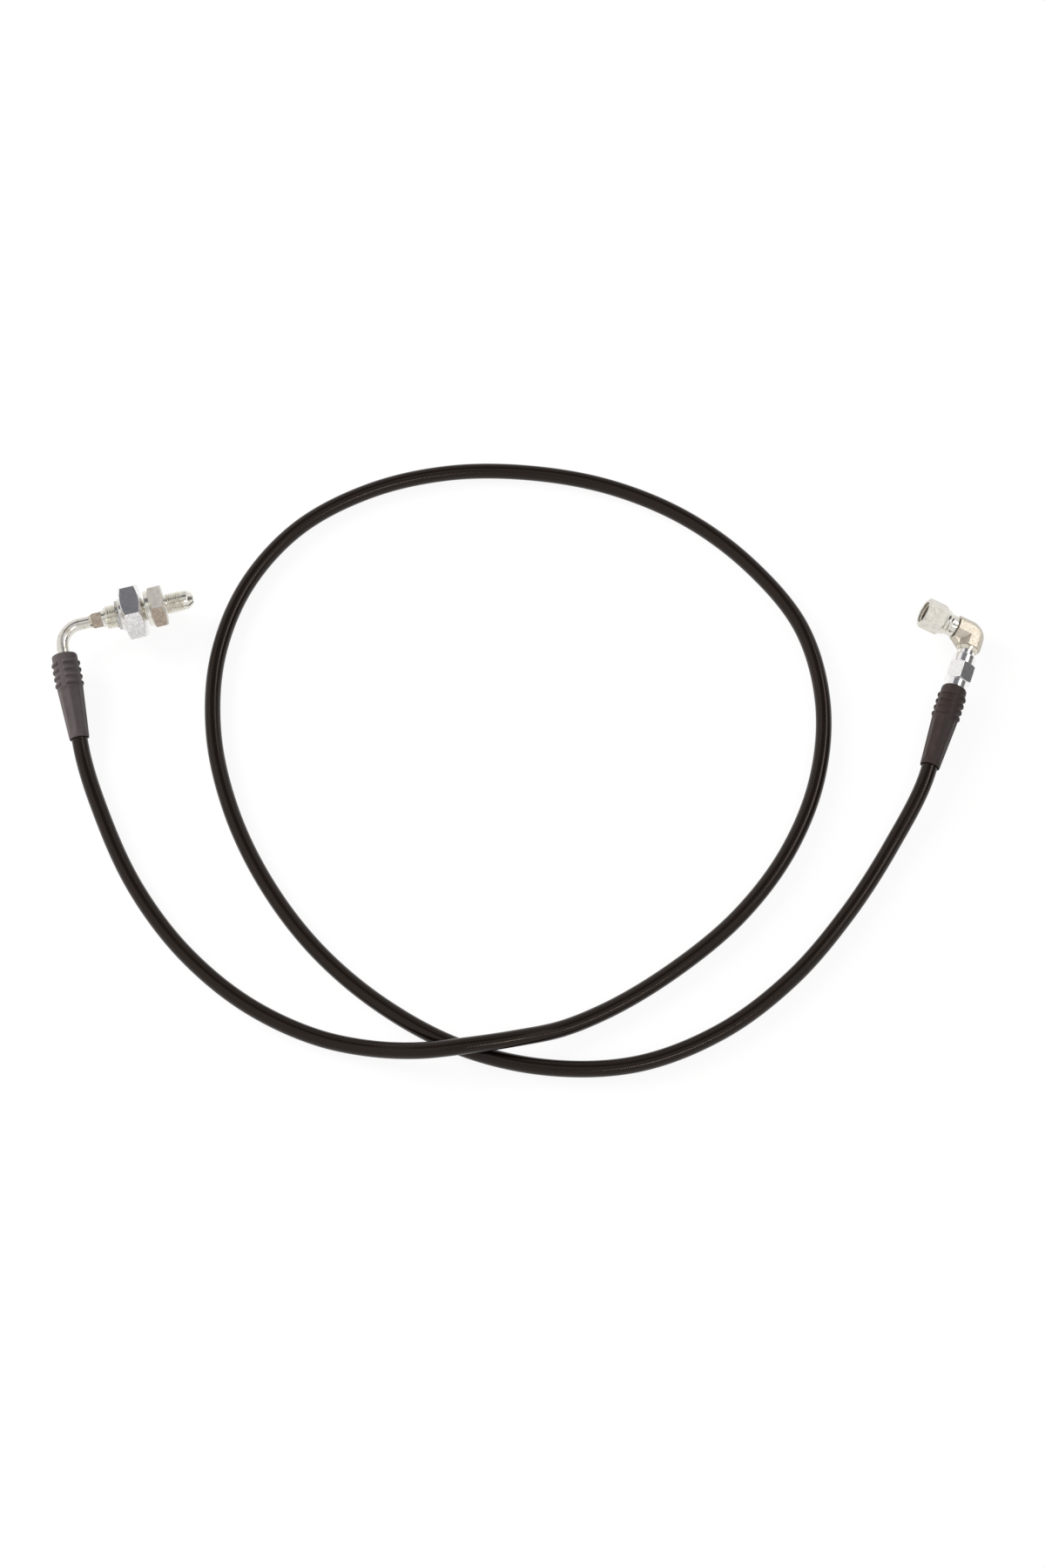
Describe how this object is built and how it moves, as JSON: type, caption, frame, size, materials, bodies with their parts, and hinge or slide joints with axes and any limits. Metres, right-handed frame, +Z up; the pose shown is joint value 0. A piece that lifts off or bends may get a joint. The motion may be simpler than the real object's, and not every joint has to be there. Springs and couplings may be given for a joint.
{
  "type": "hydraulic hose assembly",
  "caption": "Flexible hydraulic hose with a bent-tube bulkhead fitting with lock nut at one end and a forged 90 degree elbow with a female swivel nut at the other.",
  "frame": {"origin": "on the surface that the hose lies on, below the centre of the box round the two end fittings with their boots", "axes": "+X from the bulkhead end to the elbow end; +Y from the hose's crossing towards the end fittings; +Z up from the surface"},
  "size_m": [0.4869, 0.3391, 0.027],
  "materials": {
    "bright_zinc": "bright zinc plate over machined steel",
    "forged_zinc": "satin zinc plate over a grainy forging",
    "spring_steel": "plated spring steel",
    "braze": "brass-coloured braze fillet",
    "boot_rubber": "matte dark grey moulded rubber",
    "hose_cover": "glossy black extruded cover with a fine transverse braid pattern",
    "hose_braid": "woven reinforcement braid",
    "hose_liner": "smooth thermoplastic liner"
  },
  "bodies": {
    "assembly": {"bulkhead_body": "bright_zinc", "bent_tube": "bright_zinc", "tube_braze": "braze", "left_insert": "bright_zinc", "left_ferrule": "bright_zinc", "left_boot": "boot_rubber", "hose_liner": "hose_liner", "hose_braid": "hose_braid", "hose_cover": "hose_cover", "right_boot": "boot_rubber", "right_ferrule": "bright_zinc", "right_stem": "bright_zinc", "elbow_braze": "braze", "elbow_body": "forged_zinc", "swivel_stub": "bright_zinc"},
    "washers": {"flat_washer": "bright_zinc", "lock_washer": "spring_steel"},
    "lock_nut": {"lock_nut": "bright_zinc"},
    "swivel_nut": {"swivel_nut": "bright_zinc", "retaining_wire": "spring_steel"}
  },
  "joints": [
    {"name": "washer_travel", "type": "slide", "parent": "assembly", "child": "washers", "axis": [0.9677, 0.2521, 0], "range_m": [-0.00581, 0.00191]},
    {"name": "lock_nut_turn", "type": "hinge", "parent": "washers", "child": "lock_nut", "pos_m": [-0.1954, 0.0366, 0.0135], "axis": [0.9677, 0.2521, 0], "range_deg": [-1644, 538]},
    {"name": "swivel_nut_spin", "type": "hinge", "parent": "assembly", "child": "swivel_nut", "pos_m": [0.22833, 0.0277, 0.01039], "axis": [-0.9016, 0.3335, 0.2756], "continuous": true}
  ],
  "couplings": [
    {"joint": "washer_travel", "follows": "lock_nut_turn", "m_per_rad": 0.00020213}
  ]
}
